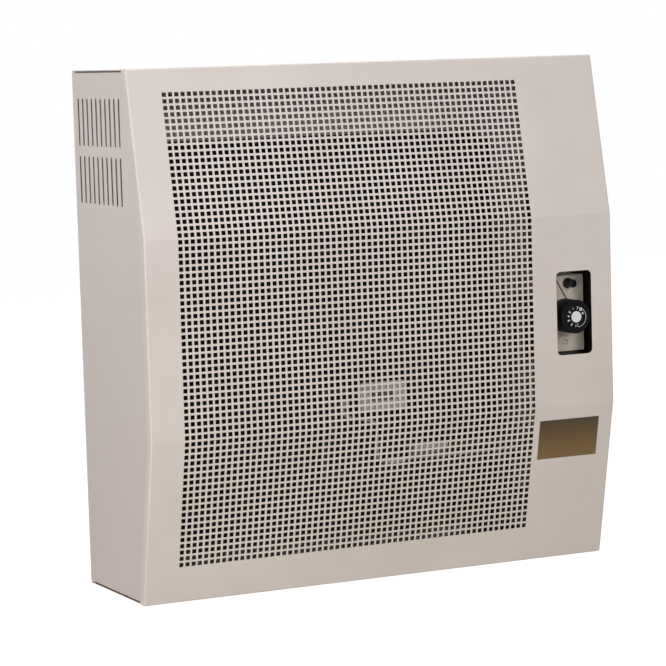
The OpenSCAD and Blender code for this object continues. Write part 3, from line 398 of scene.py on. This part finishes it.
def plastic(name, dark, light, rough, shine=0.5):
    """Moulded plastic or rubber with a fine grain."""
    m = Mat(name)
    cloud = m.noise(160, detail=3)
    return principled(
        m, Base_Color=m.mix(cloud, dark, light), Specular_IOR_Level=shine,
        Roughness=cloud.between(*MOST, rough - 0.04, rough + 0.06),
        Normal=m.bump(m.noise(1500, detail=2), strength=0.08, depth=0.05 * MM))


def cap_plastic():
    """Pale disc with the faint slanting grain that its face has."""
    m = Mat("cap_plastic")
    slant = m.axis("X") + m.axis("Z")
    waver = m.noise(300, detail=2) * 4
    stripe = m.node("ShaderNodeMath", {"operation": "SINE"}, slant * CAP_STRIPES + waver)
    tone = stripe.between(-1, 1)
    return principled(
        m, Base_Color=m.mix(tone, srgb(214, 214, 213), srgb(240, 240, 238)),
        Roughness=tone * 0.08 + 0.34,
        Normal=m.bump(stripe, strength=0.1, depth=0.05 * MM))


def fibre():
    """Matt pressed fibre with its weave."""
    m = Mat("gasket_fibre")
    weave = m.noise(800, detail=4, finer=(1, 1, 3))
    return principled(
        m, Base_Color=m.mix(weave, srgb(30, 28, 26), srgb(50, 47, 44)),
        Roughness=weave * 0.1 + 0.82,
        Normal=m.bump(weave, strength=0.5, depth=0.3 * MM))


def glazed():
    """Pale glaze with fine specks."""
    m = Mat("ceramic")
    speck = m.noise(500, detail=3)
    return principled(
        m, Base_Color=m.mix(speck, srgb(226, 222, 212), srgb(240, 238, 232)),
        Roughness=speck * 0.06 + 0.18, Coat_Weight=0.4)


def pane():
    """Clear pane with a little soot, over the dark combustion space."""
    m = Mat("sight_glass")
    soot = m.noise(60, detail=4)
    glass = m.node("ShaderNodeBsdfPrincipled", {}, Base_Color=srgb(226, 214, 190),
                   Roughness=soot * 0.1 + 0.04, Transmission_Weight=0.9, IOR=1.5)
    film = m.node("ShaderNodeBsdfPrincipled", {}, Roughness=0.5,
                  Base_Color=m.mix(soot, srgb(52, 44, 36), srgb(92, 80, 66)))
    return close(m, m.node("ShaderNodeMixShader", {}, soot.between(0.35, 0.75, 0.1, 0.5),
                           glass, film))


def white_print():
    """Slightly worn white print on the knob."""
    m = Mat("white_print")
    wear = m.noise(1200, detail=3)
    return principled(m, Base_Color=m.mix(wear, srgb(206, 206, 204), srgb(236, 236, 234)),
                      Roughness=wear * 0.1 + 0.45)


def floor_white():
    """White floor that still takes a shadow."""
    m = Mat("floor_white")
    cloud = m.noise(2, detail=2)
    glow = m.mix(m.seen_directly(), BLACK, FLOOR_GLOW)
    return principled(m, Base_Color=m.mix(cloud, srgb(178, 178, 178), srgb(186, 186, 186)),
                      Roughness=cloud * 0.05 + 0.8, Specular_IOR_Level=0.1,
                      Emission_Color=glow, Emission_Strength=1.0)


# ---- Mesh helpers ----


def put(name, sheet, finishes, body):
    """Makes a piece in the CAD frame from a sheet, and lets it ride on a body."""
    mesh = bpy.data.meshes.new(name)
    mesh.from_pydata(sheet.verts, [], sheet.faces)
    mesh.shade_smooth()
    mesh.set_sharp_from_angle(angle=SHARP_ANGLE)
    for finish in finishes:
        mesh.materials.append(finish)
    mesh.polygons.foreach_set("material_index", sheet.finish)
    piece = bpy.data.objects.new(name, mesh)
    bpy.context.scene.collection.objects.link(piece)
    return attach(piece, body)


class Sheet:
    """Vertices and faces of a mesh that grows piece by piece."""

    def __init__(self):
        self.verts = []
        self.faces = []
        self.finish = []

    def add(self, points):
        first = len(self.verts)
        self.verts += [tuple(p) for p in points]
        return list(range(first, len(self.verts)))

    def face(self, corners, finish=0):
        self.faces.append(tuple(corners))
        self.finish.append(finish)

    def band(self, a, b, closed=True):
        """Quads between two rows of as many vertices."""
        count = len(a)
        for i in range(count if closed else count - 1):
            j = (i + 1) % count
            self.face((a[i], a[j], b[j], b[i]))


# ---- Front sheet ----

front_low, front_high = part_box("front_panel")
field_low, field_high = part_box("front_grille")
HALF_X = front_high.x
TOP_Z = front_high.z
FRONT_Y = front_low.y
EDGE_Y = front_high.y - RETURN_W
SLOPE = math.atan2(EDGE_Y - FRONT_Y, TOP_Z - BEND_Z)
RIM = (HOLE_PITCH - HOLE_SIDE) / 2
HOLE_WALL = 1  # the front sheet's second and third finishes
INNER_SIDE = 2
COLUMNS = round((field_high.x - field_low.x) / HOLE_PITCH)
ROWS_UP = round((field_high.z - BEND_Z) / math.cos(SLOPE) / HOLE_PITCH)
ROWS_MID = round(2 * BEND_Z / HOLE_PITCH)
ROWS_DOWN = round((-field_low.z - BEND_Z) / math.cos(SLOPE) / HOLE_PITCH)


def along_front(s, depth):
    """(y, z) of a point s along the sheet from its middle and depth behind its face."""
    over = abs(s) - BEND_Z
    if over <= -BEND_SOFT:
        return FRONT_Y + depth, s
    share = min(max((over + BEND_SOFT) / (2 * BEND_SOFT), 0), 1)
    angle = SLOPE * share
    side = math.copysign(1, s)
    if over < BEND_SOFT:
        radius = 2 * BEND_SOFT / SLOPE
        run, drop = radius * math.sin(angle), radius * (1 - math.cos(angle))
    else:
        corner = BEND_SOFT * (1 + math.cos(SLOPE)), BEND_SOFT * math.sin(SLOPE)
        rest = over - BEND_SOFT
        run, drop = corner[0] + rest * math.cos(SLOPE), corner[1] + rest * math.sin(SLOPE)
    z = BEND_Z - BEND_SOFT + run - depth * math.sin(angle)
    return FRONT_Y + drop + depth * math.cos(angle), side * z


def front_y(z):
    """Y of the front's face at height z."""
    return FRONT_Y + max(abs(z) - BEND_Z, 0) * math.tan(SLOPE)


def hole_lows(count, first):
    """The lower or left edge of each of a run of holes."""
    return [first + RIM + i * HOLE_PITCH for i in range(count)]


def rounded(cx, cz, half_x, half_z, r, steps=8):
    """Outline of a round-cornered rectangle as (x, z) points, anticlockwise from the right."""
    points = []
    for sx, sz, start in ((1, 1, 0), (-1, 1, 90), (-1, -1, 180), (1, -1, 270)):
        for i in range(steps + 1):
            a = math.radians(start + 90 * i / steps)
            points.append((cx + sx * (half_x - r) + r * math.cos(a),
                           cz + sz * (half_z - r) + r * math.sin(a)))
    return points


def grid_lines(lows, others):
    """Sorted grid lines at both edges of each hole and at the other places."""
    return sorted([*lows, *(low + HOLE_SIDE for low in lows), *others])


def in_hole(middle, lows):
    return any(low < middle < low + HOLE_SIDE for low in lows)


def by_window(x, z):
    """Whether a point of the face lies in the window or on the strip round it."""
    x0, x1, z0, z1 = WINDOW
    return x0 - WINDOW_RIM < x < x1 + WINDOW_RIM and z0 - WINDOW_RIM < z < z1 + WINDOW_RIM


def perforated_face(sheet):
    """Face, back and hole walls of the flat part, on a grid that follows the hole edges."""
    x_flat = HALF_X - FOLD_R
    s_flat = BEND_Z + (TOP_Z - FOLD_R - BEND_Z) / math.cos(SLOPE)
    x0, x1, z0, z1 = WINDOW
    hole_x = hole_lows(COLUMNS, field_low.x)
    hole_s = [*hole_lows(ROWS_DOWN, -BEND_Z - ROWS_DOWN * HOLE_PITCH),
              *hole_lows(ROWS_MID, -BEND_Z), *hole_lows(ROWS_UP, BEND_Z)]
    bends = [side * (BEND_Z + k * BEND_SOFT) for side in (1, -1) for k in (-1, 0, 1)]
    xs = grid_lines(hole_x, (-x_flat, x_flat, x0 - WINDOW_RIM, x1 + WINDOW_RIM))
    ss = grid_lines(hole_s, (-s_flat, s_flat, z0 - WINDOW_RIM, z1 + WINDOW_RIM, *bends))
    front = []
    back = []
    for s in ss:
        for rows, depth in ((front, 0.0), (back, SHEET)):
            y, z = along_front(s, depth)
            rows.append(sheet.add([(x, y, z) for x in xs]))
    mid_x = [(a + b) / 2 for a, b in zip(xs, xs[1:])]
    mid_s = [(a + b) / 2 for a, b in zip(ss, ss[1:])]
    open_x = [in_hole(x, hole_x) for x in mid_x]
    open_s = [in_hole(s, hole_s) for s in mid_s]
    for j, s in enumerate(mid_s):
        for i, x in enumerate(mid_x):
            corners = (j, i), (j, i + 1), (j + 1, i + 1), (j + 1, i)
            outside = [front[r][c] for r, c in corners]
            inside = [back[r][c] for r, c in corners]
            if open_x[i] and open_s[j]:
                beyond = (open_s[j - 1], open_x[i + 1], open_s[j + 1], open_x[i - 1])
                for k in range(4):
                    if not beyond[k]:
                        n = (k + 1) % 4
                        sheet.face((outside[k], outside[n], inside[n], inside[k]), HOLE_WALL)
            elif not by_window(x, s):
                sheet.face(outside)
                sheet.face(reversed(inside), INNER_SIDE)


def window_patch(sheet):
    """The flat ring round the window, and the window's edge."""
    x0, x1, z0, z1 = WINDOW
    cx, cz = (x0 + x1) / 2, (z0 + z1) / 2
    half_x, half_z = (x1 - x0) / 2, (z1 - z0) / 2
    outer = rounded(cx, cz, half_x + WINDOW_RIM, half_z + WINDOW_RIM, SHARP_R)
    inner = rounded(cx, cz, half_x, half_z, WINDOW_R)
    mid = rounded(cx, cz, half_x + WINDOW_LIP, half_z + WINDOW_LIP, WINDOW_R + WINDOW_LIP)
    loops = [sheet.add([(x, y, z) for x, z in points]) for points, y in (
        (outer, FRONT_Y), (mid, FRONT_Y), (inner, FRONT_Y + WINDOW_LIP),
        (inner, FRONT_Y + SHEET), (outer, FRONT_Y + SHEET))]
    for a, b in zip(loops, loops[1:]):
        sheet.band(a, b)


def folded_rim(sheet):
    """The fold round the front and the return behind it, with the return's rear edge."""
    turns = [math.radians(90 * k / FOLD_STEPS) for k in range(FOLD_STEPS, -1, -1)]
    rings = [(FOLD_R * (1 - math.cos(a)), FOLD_R * (1 - math.sin(a))) for a in turns]
    rings += [(0, RETURN_W), (SHEET, RETURN_W), (SHEET, 2 * FOLD_R)]
    loops = []
    for inset, depth in rings:
        r = max(FOLD_R - inset, SHARP_R)
        outline = rounded(0, 0, HALF_X - inset, TOP_Z - inset, r, CORNER_STEPS)
        points = []
        for (x, z), (x2, z2) in zip(outline, outline[1:] + outline[:1]):
            points.append((x, z))
            if abs(x - x2) < SAME_PLACE and abs(z - z2) > BEND_Z:
                side = math.copysign(1, z)
                points += [(x, side * (BEND_Z + k * BEND_SOFT)) for k in (1, -1)]
                points += [(x, -side * (BEND_Z + k * BEND_SOFT)) for k in (-1, 1)]
        loops.append(sheet.add([(x, front_y(z) + depth, z) for x, z in points]))
    for a, b in zip(loops, loops[1:]):
        sheet.band(b, a)


def front_sheet():
    """The one perforated, folded sheet, in place of the CAD panel and its two-layer grille."""
    sheet = Sheet()
    perforated_face(sheet)
    window_patch(sheet)
    folded_rim(sheet)
    finishes = [materials[name] for name in ("casing_paint", "hole_dust", "inner_primer")]
    piece = put("front_sheet", sheet, finishes, "cabinet")
    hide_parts("front_panel", "front_grille")


# ---- Knob ----

knob_low, knob_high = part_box("control_knob")
KNOB_X = (knob_low.x + knob_high.x) / 2
KNOB_Z = (knob_low.z + knob_high.z) / 2


def on_dial(angle, radius):
    """(x, z) on the knob's face, with the angle clockwise from the top."""
    a = math.radians(angle)
    return KNOB_X + radius * math.sin(a), KNOB_Z + radius * math.cos(a)


def round_row(centre, radii, count):
    """Points round a centre; the radii take turns."""
    turns = [2 * math.pi * k / count for k in range(count)]
    return [(centre[0] + radii[k % len(radii)] * math.sin(a),
             centre[1] + radii[k % len(radii)] * math.cos(a)) for k, a in enumerate(turns)]


def print_rows(name, rows, closed):
    """A thin white print on the knob's face between two rows of (x, z) points."""
    sheet = Sheet()
    face, back = ([sheet.add([(x, y, z) for x, z in row]) for row in rows]
                  for y in (knob_low.y - PRINT_T, knob_low.y))
    sheet.band(face[0], face[1], closed)
    sheet.band(back[0], face[0], closed)
    sheet.band(face[1], back[1], closed)
    put(name, sheet, [materials["white_print"]], "knob")


def print_stroke(name, path):
    """A thin white line of even width along (x, z) points."""
    points = np.array(path)
    along = np.gradient(points, axis=0)
    across = np.stack([along[:, 1], -along[:, 0]], axis=1)
    across *= STROKE_HALF / np.linalg.norm(across, axis=1, keepdims=True)
    print_rows(name, [(points + across).tolist(), (points - across).tolist()], False)


def digit(text, place):
    """One digit with its top outwards, as a thin mesh on the knob's face."""
    curve = bpy.data.curves.new("digit", "FONT")
    curve.body = text
    curve.align_x = "CENTER"
    curve.align_y = "CENTER"
    curve.size = DIGIT_H / DIGIT_SHARE
    curve.offset = DIGIT_BOLD
    curve.extrude = PRINT_T / 2
    holder = bpy.data.objects.new("digit", curve)
    bpy.context.scene.collection.objects.link(holder)
    bpy.context.view_layer.update()
    mesh = bpy.data.meshes.new_from_object(
        holder.evaluated_get(bpy.context.evaluated_depsgraph_get()))
    bpy.data.objects.remove(holder)
    x, z = on_dial(*place)
    mesh.transform(Matrix.Translation((x, knob_low.y - PRINT_T / 2, z))
                   @ Matrix.Rotation(math.radians(place[0]), 4, "Y")
                   @ Matrix.Rotation(math.radians(90), 4, "X"))
    mesh.materials.clear()
    mesh.materials.append(materials["white_print"])
    piece = bpy.data.objects.new("dial_" + text, mesh)
    bpy.context.scene.collection.objects.link(piece)
    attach(piece, "knob")


def swept(start, end, bulge, steps):
    """Points from one place on the dial to another, bulging in between."""
    points = []
    for k in range(steps + 1):
        share = k / steps
        swell = math.sin(math.pi * share)
        place = [a + (b - a) * share + c * swell for a, b, c in zip(start, end, bulge)]
        points.append(on_dial(*place))
    return points


def dial_marks():
    """The digits and plain signs, which turn with the knob."""
    for text, place in DIGITS.items():
        digit(text, place)
    ring = on_dial(*RING_AT)
    print_rows("dial_ring", [round_row(ring, [r], RING_STEPS) for r in RING_RADII], True)
    star = on_dial(*STAR_AT)
    print_rows("dial_star", [round_row(star, [STAR_MIDDLE], 2 * STAR_TIPS),
                             round_row(star, STAR_RADII, 2 * STAR_TIPS)], True)
    print_stroke("dial_arc", swept(ARC_FROM, ARC_TO, ARC_BULGE, ARC_STEPS))
    print_stroke("dial_hook", swept(ARC_TO, HOOK_TO, HOOK_BULGE, HOOK_STEPS))


# ---- CAD pieces ----

# Sheets whose inner side has the dark primer of painted shade, and screws painted with their door
OWN_FINISH = {"left_side_panel": "side_sheet", "right_side_panel": "side_sheet",
              "top_panel": "end_sheet", "bottom_panel": "end_sheet",
              "door_screws": "stove_black"}


def dress():
    """Gives each CAD node the material of its slot, or its own."""
    for part in frame["record"]["subparts"]:
        mesh = frame["nodes"][part["node"]].data
        mesh.materials.clear()
        mesh.materials.append(materials[OWN_FINISH.get(part["node"], part["material_slot"])])


def soften(name, width, segments=2):
    """Rounds the sharp edges of a CAD node a little."""
    piece = frame["nodes"][name]
    weld = piece.modifiers.new("weld", "WELD")
    weld.merge_threshold = WELD
    bevel = piece.modifiers.new("bevel", "BEVEL")
    bevel.width = width
    bevel.segments = segments
    bevel.limit_method = "ANGLE"
    bevel.angle_limit = BEVEL_ANGLE


def soften_all():
    """Rounds the pieces whose edges show, and domes the bracket's screws."""
    for name, width in SOFT_EDGES.items():
        soften(name, width)
    soften("bracket_screws", SCREW_DOME, DOME_SEGMENTS)


# ---- Stage ----


def studio():
    """Camera, soft lamps, pale surroundings and floor."""
    bpy.context.scene.view_settings.view_transform = "Standard"
    camera()
    for name, (at, size, power) in LAMPS.items():
        area(name, at, size, power)
    world()
    floor()


def camera():
    """The photo's own viewpoint."""
    data = bpy.data.cameras.new("camera")
    data.lens = LENS_MM
    data.sensor_width = SENSOR_MM
    data.clip_end = VIEW_REACH
    eye = bpy.data.objects.new("camera", data)
    eye.location = CAMERA_AT
    eye.rotation_euler = Euler([math.radians(a) for a in CAMERA_TURN])
    bpy.context.scene.collection.objects.link(eye)
    bpy.context.scene.camera = eye


def area(name, at, size, power):
    """Square soft light aimed at the heater's middle."""
    data = bpy.data.lights.new(name, "AREA")
    data.size = size
    data.energy = power
    lamp = bpy.data.objects.new(name, data)
    lamp.location = at
    lamp.rotation_euler = (-Vector(at)).to_track_quat("-Z", "Y").to_euler()
    bpy.context.scene.collection.objects.link(lamp)


def world():
    """Even pale surroundings, plain white to the camera and in gloss and glass."""
    surround = Tree(bpy.data.worlds.new("surround"))
    soft = surround.node("ShaderNodeBackground", {}, Color=WHITE, Strength=SURROUND_LIGHT)
    plain = surround.node("ShaderNodeBackground", {}, Color=WHITE, Strength=1.0)
    mixed = surround.node("ShaderNodeMixShader", {}, surround.seen_directly(), soft, plain)
    surround.node("ShaderNodeOutputWorld", {}, Surface=mixed)
    bpy.context.scene.world = surround.data


def floor():
    """Plain floor some way below the heater, which hangs on its wall."""
    mesh = bpy.data.meshes.new("floor")
    corners = [(x * FLOOR_REACH, y * FLOOR_REACH, FLOOR_Z)
               for x, y in ((-1, -1), (1, -1), (1, 1), (-1, 1))]
    mesh.from_pydata(corners, [], [(0, 1, 2, 3)])
    mesh.materials.append(floor_white())
    plane = bpy.data.objects.new("floor", mesh)
    bpy.context.scene.collection.objects.link(plane)


# ---- The heater ----

# Paint turns to the dark primer of painted shade half through the side sheets, and just above the
# end sheets' inner face
SIDE_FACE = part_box("right_side_panel")[1].x
END_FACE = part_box("top_panel")[1].z
materials = {
    "casing_paint": casing_paint(),
    "side_sheet": casing_paint("side_sheet", "X", SIDE_FACE - SHEET / 2, LOW_SIDE_SHADED),
    "end_sheet": casing_paint("end_sheet", "Z", END_FACE - 0.9 * SHEET),
    "inner_primer": inner_primer(),
    "hole_dust": hole_dust(),
    "plate_brass": plate_brass(),
    "plated_screw": brushed("plated_screw", srgb(214, 213, 210), srgb(238, 237, 234), 0.85, 0.24),
    "galvanised_sheet": galvanised(),
    "stove_black": stove_black(),
    "gasket_fibre": fibre(),
    "cast_alloy": brushed("cast_alloy", srgb(176, 176, 174), srgb(212, 211, 208), 0.6, 0.4),
    "sight_glass": pane(),
    "burner_steel": brushed("burner_steel", srgb(150, 148, 145), srgb(186, 184, 180), 0.3, 0.45),
    "brass_fitting": brushed("brass_fitting", srgb(62, 51, 34), srgb(86, 71, 46), 0.7, 0.42),
    "pipe_steel": brushed("pipe_steel", srgb(52, 49, 46), srgb(78, 74, 70), 0.6, 0.45),
    "probe_copper": probe_copper(),
    "ceramic": glazed(),
    "lead_rubber": plastic("lead_rubber", srgb(26, 25, 25), srgb(40, 39, 38), 0.6),
    "bracket_paint": bracket_paint(),
    "knob_plastic": plastic("knob_plastic", srgb(7, 7, 9), srgb(13, 13, 16), 0.5, 0.08),
    "cap_plastic": cap_plastic(),
    "igniter_plastic": plastic("igniter_plastic", srgb(8, 8, 8), srgb(15, 14, 14), 0.22, 0.4),
    "white_print": white_print(),
}

dress()
soften_all()
front_sheet()
dial_marks()
studio()
